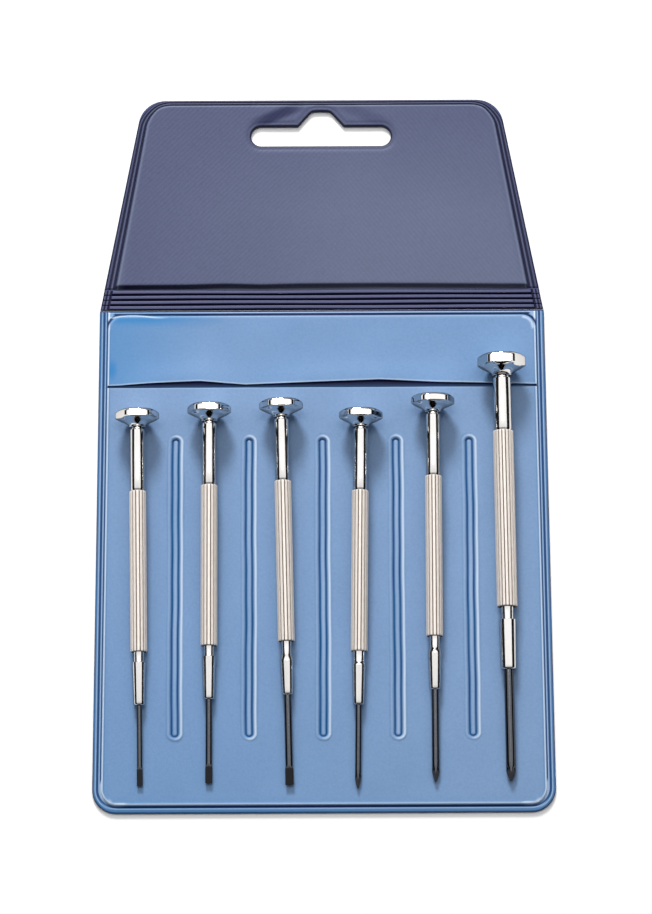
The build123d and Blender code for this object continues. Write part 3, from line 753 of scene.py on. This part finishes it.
# The vinyl sags between the slot's peak and the top border, and is painted a deeper shade there, more on the
# left.
dip_lean = math.radians(23)
dip_x = np.abs(grid_x) - 10.7
dip_y = grid_y - 86.3
dip_along = dip_x * math.cos(dip_lean) - dip_y * math.sin(dip_lean)
dip_across = dip_x * math.sin(dip_lean) + dip_y * math.cos(dip_lean)
dip = np.exp(-((dip_along / 6.2) ** 4) - (dip_across / 1.5) ** 4) * np.where(grid_x < 0, 1.0, 0.35)
rise = np.minimum(np.minimum(edge_rise, slot_rise), root_rise) + panel * np.clip(rim_away - 3, 0, 1)
rise = np.maximum(rise - 0.1 * dip, weld_height)
rise = np.minimum(rise, web_radius + 0.02 + fold_slope * (grid_y - flap_root))
dark = np.maximum(np.maximum(edge_dark, slot_shade), np.where(rim_away > 2.0, root_shade, 0))
raised = (rim_away > 2.3) & (slot_away > 1.0) & (root_away > 0.4)
lining_under = np.minimum(np.where(raised, np.maximum(rise - 0.3, cover_top), cover_top), rise - 0.02)
# Painted light: the panel is lighter towards the right and its lower part.
rubbed = 0.06 * np.clip((grid_x + 52) / 60, 0, 1) * np.clip((91 - grid_y) / 30, 0.2, 1)
rubbed *= np.clip(rim_away - 2.4, 0, 1)
hole = np.abs(flap_columns) < slot_half - 1e-9
flap_lining = closed_sheet(
    "flap_lining_sheet", "flap", grid_x, grid_y, rise, lining_under, split_row=len(below_rows) - 1,
    joined=~hole, pressed=dark, stretched=dip, bleached=rubbed + edge_bleach * (slot_away > 1),
)


twill_pitch = 0.95
bands_per_scale = 3.18  # wave bands in one unit at a scale of 1


def mixed_value(tree, factor, low, high):
    """Node socket: the value from low to high by a value; low and high are sockets or numbers."""
    node = tree.nodes.new("ShaderNodeMix")
    for key, value in (("Factor", factor), (2, low), (3, high)):
        feed(tree, node.inputs[key], value)
    return node.outputs[0]


def twill_emboss(tree, place):
    """Node sockets: two diagonal families of fine ribs, the first on the left and the second
    on the right of the panel, and a painted shade that deepens the further a point is down between them."""
    ribs = []
    for turn in (45, -38):
        mapping = tree.nodes.new("ShaderNodeMapping")
        mapping.inputs["Rotation"].default_value = (0, 0, math.radians(turn))
        bands = tree.nodes.new("ShaderNodeTexWave")
        bands.inputs["Scale"].default_value = 1 / (twill_pitch * MM) / bands_per_scale
        bands.inputs["Distortion"].default_value = 0.35
        bands.inputs["Detail"].default_value = 1
        bands.inputs["Detail Scale"].default_value = 0.8
        tree.links.new(place, mapping.inputs["Vector"])
        tree.links.new(mapping.outputs[0], bands.inputs["Vector"])
        ribs.append(bands.outputs["Fac"])
    split = tree.nodes.new("ShaderNodeSeparateXYZ")
    tree.links.new(place, split.inputs[0])
    side = ranged(tree, split.outputs["X"], -18 * MM, 30 * MM, 0.0, 1.0)
    blend = mixed_value(tree, side, *ribs)
    return blend, ranged(tree, blend, 0.0, 0.6, 0.24, 0)


flap_vinyl = vinyl(
    "flap_vinyl", (0.072, 0.085, 0.165), (0.086, 0.1, 0.186), deep_navy, deep_navy, (0.01, 0.013, 0.06),
    grain=1300, cloud=20, twill=twill_emboss, gloss=0.44,
)
flap_lining.data.materials.append(flap_vinyl)
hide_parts("flap_lining")

# The stiffener is grey card, hidden between the cover and the lining.
board_card, tree, card_shader = new_material("board_card")
fibres = noise(tree, tree.nodes.new("ShaderNodeTexCoord").outputs["Object"], 900, 6)
feed(tree, card_shader.inputs["Base Color"], mixed(tree, fibres, (0.30, 0.28, 0.25), (0.46, 0.44, 0.40)))
card_shader.inputs["Roughness"].default_value = 0.9
board_thickness = 0.7
inside_lining = (rim_away > 3.0) & (slot_away > 1.6) & (root_away > 0.7)
flap_board = closed_sheet(
    "stiffener_board", "flap", grid_x, grid_y, np.minimum(cover_top + board_thickness, rise - 0.31),
    np.full_like(rise, cover_top), split_row=len(below_rows) - 1, joined=~hole, cut=inside_lining,
)
flap_board.data.materials.append(board_card)
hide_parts("flap_board")

# ---- screwdrivers: where each one lies -------------------------------------------------
# Sizes of the two handles and of the six screwdrivers, as they are turned and ground.  The
# line each one lies on is its finger cap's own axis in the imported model.
small_handle = dict(
    nose_length=10.5, nose_tip=1.38, nose_back=1.7, waist_length=2.5, grip_length=39.6, grip=2.05,
    neck_length=15.4, neck=1.8, flutes=14, corner=5.4, hub=2.05, underside=2.3, rim=1.85,
)
large_handle = dict(
    nose_length=12.2, nose_tip=1.95, nose_back=2.12, waist_length=3.1, grip_length=43.6, grip=2.5,
    neck_length=13.3, neck=2.2, flutes=18, corner=5.93, hub=2.45, underside=2.6, rim=2.55,
)
# handle, tip kind, shaft radius, slotted tip's width, exposed blade, waist radius, cone length, cap turn
screwdrivers = [
    (small_handle, "slotted", 0.66, 1.4, 19.5, 1.3, 0.1, 2),
    (small_handle, "slotted", 0.80, 1.7, 20.3, 1.3, 0.1, -4),
    (small_handle, "slotted", 0.92, 2.0, 21.8, 1.25, 2.2, 1),
    (small_handle, "cross", 0.75, 0, 20.2, 1.5, 0.8, 0),
    (small_handle, "cross", 0.90, 0, 22.3, 1.3, 1.6, 8),
    (large_handle, "cross", 1.18, 0, 27.1, 1.55, 0.1, -3),
]
spigot = 0.35
spigot_step = 0.45
cap_gap = 0.08
blade_seat = 8.0
joints = {joint["name"]: joint for joint in frame["joints"]}


def stations(h, exposed):
    """Distances from the blade's tip to the nose, waist, grip, neck, end and cap seat."""
    waist = exposed + h["nose_length"]
    grip = waist + h["waist_length"]
    neck = grip + h["grip_length"]
    end = neck + h["neck_length"]
    return exposed, waist, grip, neck, end, end + spigot + cap_gap


def lying(number, h, exposed):
    """The tip's place and three directions: across and up from the screwdriver, and along it.
    The joint is at the middle of the cap's rim."""
    joint = joints[f"finger_cap_{number}_spin"]
    along = np.array(joint["axis"])
    cap_middle = stations(h, exposed)[-1] + h["underside"] + h["rim"] / 2
    tip = np.array(joint["pos_m"]) / MM - along * cap_middle
    across = np.array([along[1], -along[0], 0])
    across /= np.linalg.norm(across)
    return tip, across, np.cross(along, across), along


def lathed(place, stations_along, radii, angle):
    """Vertices and faces of a closed round body: a grid of radius by distance along and by
    angle, laid along the axis, with a middle point closing each end.  radii is a grid, or one
    radius for each distance.  Also gives each vertex's turn, from 0 to 1, and distance."""
    tip, across, up, along = place
    s, sides = np.asarray(stations_along, float), len(angle)
    r = np.broadcast_to(np.asarray(radii, float).reshape(len(s), -1), (len(s), sides))
    ring = np.cos(angle)[:, None] * across + np.sin(angle)[:, None] * up
    body = tip + s[:, None, None] * along + r[:, :, None] * ring
    ends = np.stack([tip + s[0] * along, tip + s[-1] * along])
    index = np.arange(len(s) * sides).reshape(len(s), sides)
    around = np.roll(index, -1, 1)
    quads = np.stack([index[:-1], around[:-1], around[1:], index[1:]], -1).reshape(-1, 4).tolist()
    first, last = index.size, index.size + 1
    fans = [(first, b, a) for a, b in zip(index[0].tolist(), around[0].tolist())]
    fans += [(last, a, b) for a, b in zip(index[-1].tolist(), around[-1].tolist())]
    turn = np.append(np.tile(angle / (2 * math.pi), len(s)), [0, 0])
    distance = np.append(np.repeat(s, sides), [s[0], s[-1]])
    return np.concatenate([body.reshape(-1, 3), ends]), quads + fans, turn, distance


def turned_piece(name, body, shape, material, slot, replaced, crease_deg=35, **marks):
    """A lathed shape as a piece, with a map that runs round it and along it."""
    vertices, faces, turn, distance = shape
    piece = smooth_mesh(name, vertices, faces, body, marks, crease_deg)
    mesh = piece.data
    corners = np.zeros(len(mesh.loops), int)
    mesh.loops.foreach_get("vertex_index", corners)
    sizes = np.zeros(len(mesh.polygons), int)
    mesh.polygons.foreach_get("loop_total", sizes)
    start = np.concatenate([[0], np.cumsum(sizes)[:-1]])
    u = turn[corners]
    wraps = np.repeat(np.maximum.reduceat(u, start) > 0.75, sizes) & (u < 0.25)
    places = np.column_stack([u + wraps, distance[corners] / 100]).astype(np.float32)
    mesh.uv_layers.new(name="round_and_along").data.foreach_set("uv", places.ravel())
    mesh.materials.append(material)
    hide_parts(replaced)


# ---- screwdrivers: handles -------------------------------------------------------------
# One bar of nickel-plated brass: a tapered bright nose, a narrow waist, a satin fluted grip
# and a bright neck with a small spigot under the cap.


def plated(name, satin_from_marks):
    """Nickel plate: bright and faintly cloudy, satin and cream where the grip is knurled,
    brown down in its flutes, with painted shade on the grip's end faces and fine lines drawn along it."""
    material, tree, shader = new_material(name)
    shader.inputs["Metallic"].default_value = 1
    shader.inputs["Specular Tint"].default_value = (0.3, 0.27, 0.25, 1)
    place = tree.nodes.new("ShaderNodeTexCoord").outputs["Object"]
    cloud = noise(tree, place, 260, 3)
    bright = mixed(tree, cloud, (0.72, 0.70, 0.68), (0.80, 0.78, 0.76))
    rough = ranged(tree, cloud, 0.3, 0.7, 0.045, 0.075)
    if satin_from_marks:
        unrolled = tree.nodes.new("ShaderNodeTexCoord").outputs["UV"]
        drawn = tree.nodes.new("ShaderNodeMapping")
        drawn.inputs["Scale"].default_value = (170, 60, 1)
        tree.links.new(unrolled, drawn.inputs["Vector"])
        lines = noise(tree, drawn.outputs[0], 1, 5, 0.75)
        cream = mixed(tree, ranged(tree, lines, 0.35, 0.7, 0, 1), (0.98, 0.93, 0.88), (0.72, 0.64, 0.57))
        satin = mixed(tree, attribute(tree, "fluted"), cream, (0.13, 0.085, 0.06))
        grip = attribute(tree, "grip")
        bright = mixed(tree, grip, bright, satin)
        rough = mixed_value(tree, grip, rough, 0.62)
        feed(tree, shader.inputs["Metallic"], ranged(tree, grip, 0, 1, 1, 0.35))
        feed(tree, shader.inputs["Normal"], bumped(tree, lines, 0.02 * MM, 0.3))
    tree.links.new(bright, shader.inputs["Base Color"])
    tree.links.new(rough, shader.inputs["Roughness"])
    return material


handle_plate = plated("handle_plate", True)
flute_depth = 0.24
flute_sharpness = 5.0
flute_stain = 1.6  # how far up a flute's sides the brown reaches
grip_bevel = 0.22
for number, row in enumerate(screwdrivers, 1):
    h, _, shaft, _, exposed, waist_radius, cone, _ = row
    nose, waist, grip, neck, end, _ = stations(h, exposed)
    tip_r, back_r, neck_r = h["nose_tip"], h["nose_back"], h["neck"]
    sides = h["flutes"] * 12
    place = lying(number, h, exposed)
    angle = np.arange(sides) * 2 * math.pi / sides
    groove = np.exp(flute_sharpness * (np.cos(angle * h["flutes"]) - 1))
    plain = [
        (nose + 0.5, shaft + 0.02), (nose + 0.12, shaft + 0.04), (nose, shaft + 0.22),
        (nose, tip_r - 0.3), (nose + 0.08, tip_r - 0.14),
        (nose + 0.3, tip_r - 0.02), (nose + 0.45, tip_r),
    ]
    plain += [(s, np.interp(s, [nose, waist - cone], [tip_r, back_r]))
              for s in np.linspace(nose + 1, waist - cone - 0.12, 8)]
    cone_run = np.linspace(0, 1, 9)
    eased = cone_run**2 * (3 - 2 * cone_run)
    cone_r = back_r + eased * (waist_radius - back_r)
    plain += list(zip(waist - cone + cone_run * cone, cone_r))
    plain += [(waist + 0.15, waist_radius - 0.02), (grip - 0.3, waist_radius)]
    plain += [(grip - 0.02, waist_radius + 0.02)]
    before = np.array(plain)
    bevel_run = np.array([0.35, 0.7, 1.0]) * grip_bevel
    grip_length = h["grip_length"]
    grip_s = grip + np.concatenate([
        [0, 0.001], bevel_run, np.linspace(0.6, grip_length - 0.6, 22), grip_length - bevel_run[::-1],
        [grip_length - 0.001, grip_length],
    ])
    end_away = np.minimum(grip_s - grip, neck - grip_s)
    bevel = np.clip(grip_bevel - end_away, 0, None)
    grip_r = h["grip"] - bevel[:, None] * 0.8 - flute_depth * groove
    grip_r[0], grip_r[-1] = waist_radius, neck_r - 0.15
    after = np.array([
        (neck + 0.01, neck_r - 0.15), (neck + 0.35, neck_r - 0.04), (neck + 0.6, neck_r),
        (neck + 4, neck_r), (neck + 8, neck_r), (end - 0.3, neck_r), (end - 0.12, neck_r - 0.04),
        (end, neck_r - 0.16), (end + 0.01, neck_r - spigot_step), (end + spigot, neck_r - spigot_step),
    ])
    s_all = np.concatenate([before[:, 0], grip_s, after[:, 0]])
    r_all = np.concatenate([np.repeat(before[:, 1:], sides, 1), grip_r, np.repeat(after[:, 1:], sides, 1)])
    shape = lathed(place, s_all, r_all, angle)
    on_grip = np.zeros(len(s_all))
    on_grip[len(before):len(before) + len(grip_s)] = 1
    # Painted shade on the grip's two end faces, darkest at the nose end.
    at_end = np.zeros(len(s_all))
    at_end[len(before):len(before) + 2] = 1
    at_end[len(before) + len(grip_s) - 2:len(before) + len(grip_s)] = 0.6
    in_flute = np.clip(groove * flute_stain, 0, 1)
    deep = np.maximum(on_grip[:, None] * in_flute, at_end[:, None])
    turned_piece(
        f"handle_{number}", f"screwdriver_{number}", shape, handle_plate, "nickel_plate",
        f"driver_{number}_handle", grip=np.append(np.repeat(on_grip, sides), [0, 0]),
        fluted=np.append(deep.ravel(), [0, 0]),
    )

# ---- screwdrivers: finger caps ---------------------------------------------------------
# Bright plated hexagons turned with a hollow flare below the six flats and a bevel and a
# shallow dish above them.  Each turns on its rivet, so it rides on its own body.
cap_plate = plated("cap_plate", False)
corner_rounding = 1.5
rim_rounding = 0.6
blank_margin = 0.45
rounding_allowance = 0.12
bevel_height = 0.75
bevel_width = 0.9
flare_hollow = 0.42
near_corner = np.linspace(-7, 7, 17)
between = np.linspace(7, 53, 14)[1:-1]
sixth = np.concatenate([near_corner, between])
cap_turns = np.radians(np.concatenate([sixth + 60 * k for k in range(6)]))


def hexagon_radius(angle, corner):
    """Radius of a hexagon with rounded corners at each angle: on a corner's arc it is the far
    crossing of the ray with the arc's circle, and elsewhere the flat's distance over a cosine."""
    off = np.mod(angle + math.pi / 6, math.pi / 3) - math.pi / 6
    centre = corner - corner_rounding
    arc = centre * np.cos(off) + np.sqrt(np.clip(corner_rounding**2 - (centre * np.sin(off)) ** 2, 0, None))
    flat = (centre * math.cos(math.pi / 6) + corner_rounding) / np.cos(math.pi / 6 - np.abs(off))
    meet = math.atan2(corner_rounding / 2, centre + corner_rounding * math.cos(math.pi / 6))
    return np.where(np.abs(off) < meet, arc, flat)


for number, row in enumerate(screwdrivers, 1):
    h, exposed, cap_turn = row[0], row[4], row[7]
    seat = stations(h, exposed)[-1]
    rim = seat + h["underside"]
    top = rim + h["rim"]
    corner, hub = h["corner"], h["hub"]
    angle = cap_turns + math.radians(cap_turn)
    hexagon = hexagon_radius(cap_turns, corner + rounding_allowance)
    blank_radius = corner + blank_margin
    flare = np.linspace(0, 1, 15)
    flare_s = seat + 0.5 + flare * (h["underside"] - 0.5)
    flare_r = hub + (blank_radius - hub) * flare - 4 * flare_hollow * flare * (1 - flare)
    blank = [(seat + 0.001, hub - 0.75), (seat, hub - 0.2), (seat + 0.1, hub - 0.04), (seat + 0.25, hub),
             (seat + 0.38, hub - 0.06)]
    blank += list(zip(flare_s, flare_r))
    blank += [(s, blank_radius) for s in np.linspace(rim + 0.08, top - bevel_height, 10)]
    bevel = np.linspace(0, 1, 8)[1:]
    bevel_r = blank_radius - (bevel_width + blank_margin) * bevel**1.4
    blank += list(zip(top - bevel_height * (1 - bevel), bevel_r))
    blank += [(top, corner - 1.2), (top - 0.02, corner - 1.5), (top - 0.14, corner - 1.9),
              (top - 0.26, corner - 2.4), (top - 0.34, corner - 3.1), (top - 0.35, 1.72),
              (top - 0.42, 1.64), (top - 0.9, 1.62)]
    blank = np.array(blank)
    turned, flats = blank[:, 1][:, None], hexagon[None, :]
    radii = (turned + flats - np.sqrt((turned - flats) ** 2 + rim_rounding**2)) / 2
    radii = np.where(turned < corner - 1, turned, radii)
    shape = lathed(lying(number, h, exposed), blank[:, 0], radii, angle)
    turned_piece(
        f"finger_cap_{number}", f"finger_cap_{number}", shape, cap_plate, "nickel_plate",
        f"driver_{number}_cap", crease_deg=24,
    )

# ---- screwdrivers: cap rivets ----------------------------------------------------------
# Steel pins through the caps, their domed heads lying in the dished tops.
rivet_steel = plated("rivet_steel", False)
rivet_pin = 0.8
rivet_head = 1.5
head_under_top = 0.85
head_side = 0.2
dome_height = 0.34
round_angles = np.arange(48) * 2 * math.pi / 48
for number, row in enumerate(screwdrivers, 1):
    h, exposed = row[0], row[4]
    seat = stations(h, exposed)[-1]
    top = seat + h["underside"] + h["rim"]
    base = top - head_under_top
    shoulder = base + head_side
    dome = np.linspace(0, math.pi / 2, 9)[1:-1]
    s = np.concatenate([[seat - 0.4, base - 0.001, base, shoulder], shoulder + dome_height * np.sin(dome)])
    r = np.concatenate([
        [rivet_pin, rivet_pin, rivet_head - 0.08, rivet_head], rivet_head * np.cos(dome) ** 0.5])
    shape = lathed(lying(number, h, exposed), s, r, round_angles)
    turned_piece(
        f"cap_rivet_{number}", f"screwdriver_{number}", shape, rivet_steel, "rivet_steel",
        f"driver_{number}_rivet",
    )

# ---- screwdrivers: blades --------------------------------------------------------------
# Blackened tool steel rods pressed into the noses.  Three are ground to a flat edge and
# three to a cross with four flutes.
black_steel, tree, steel = new_material("black_steel")
mottle = noise(tree, tree.nodes.new("ShaderNodeTexCoord").outputs["Object"], 700, 4)
bare = mixed(tree, mottle, (0.075, 0.08, 0.09), (0.105, 0.11, 0.12))
ground_mark = attribute(tree, "ground")
feed(tree, steel.inputs["Base Color"], mixed(tree, ground_mark, bare, (0.006, 0.006, 0.009)))
feed(tree, steel.inputs["Roughness"], mixed_value(tree, ground_mark, 0.16, 0.6))
feed(tree, steel.inputs["Metallic"], ranged(tree, ground_mark, 0, 0.5, 1, 0))
feed(tree, steel.inputs["Normal"], bumped(tree, mottle, 0.01 * MM, 0.3))
steel.inputs["Specular IOR Level"].default_value = 0.3
slotted_length = 4.4
edge_thickness = 0.28
cross_length = 3.6
blade_sides = 96
for number, row in enumerate(screwdrivers, 1):
    h, kind, shaft, width, exposed = row[:5]
    angle = np.arange(blade_sides) * 2 * math.pi / blade_sides
    shaft_s = np.linspace(slotted_length + 0.4, exposed + blade_seat, 8)
    if kind == "slotted":
        tip_s = np.concatenate([[0.0, 0.05], np.linspace(0.3, slotted_length, 16)])
        share = np.clip(tip_s / slotted_length, 0, 1)
        thick = edge_thickness / 2 + (shaft - edge_thickness / 2) * share
        wide = width / 2 + (shaft - width / 2) * np.clip((share - 0.8) / 0.2, 0, 1)
        wide[0] -= 0.04
        square = np.interp(share, [0, 0.8, 1], [14, 10, 2])
        radii = (np.abs(np.cos(angle))[None, :] / wide[:, None]) ** square[:, None]
        radii += (np.abs(np.sin(angle))[None, :] / thick[:, None]) ** square[:, None]
        radii = radii ** (-1 / square[:, None])
        ground = np.clip((0.97 - share) / 0.05, 0, 1)
    else:
        tip_s = np.concatenate([[0.0, 0.06, 0.16], np.linspace(0.35, cross_length, 18)])
        cone_steps = [0, 0.06, 0.16, cross_length * 0.62, cross_length]
        cone = np.interp(tip_s, cone_steps, np.array([0.14, 0.22, 0.3, 1, 1]) * shaft)
        cut = np.clip(1 - tip_s / cross_length, 0, 1) ** 0.6
        radii = cone[:, None] * (1 - 0.5 * cut[:, None] * (1 - np.abs(np.cos(2 * angle))[None, :] ** 1.4))
        ground = np.clip((cross_length * 0.8 - tip_s) / 1.2, 0, 1) * 0.6
    r_all = np.concatenate([radii, np.full((len(shaft_s), blade_sides), shaft)])
    shape = lathed(lying(number, h, exposed), np.concatenate([tip_s, shaft_s]), r_all, angle)
    turned_piece(
        f"blade_{number}", f"screwdriver_{number}", shape, black_steel, "black_steel",
        f"driver_{number}_blade",
        ground=np.append(np.repeat(np.concatenate([ground, np.zeros(len(shaft_s))]), blade_sides), [1, 0]),
    )
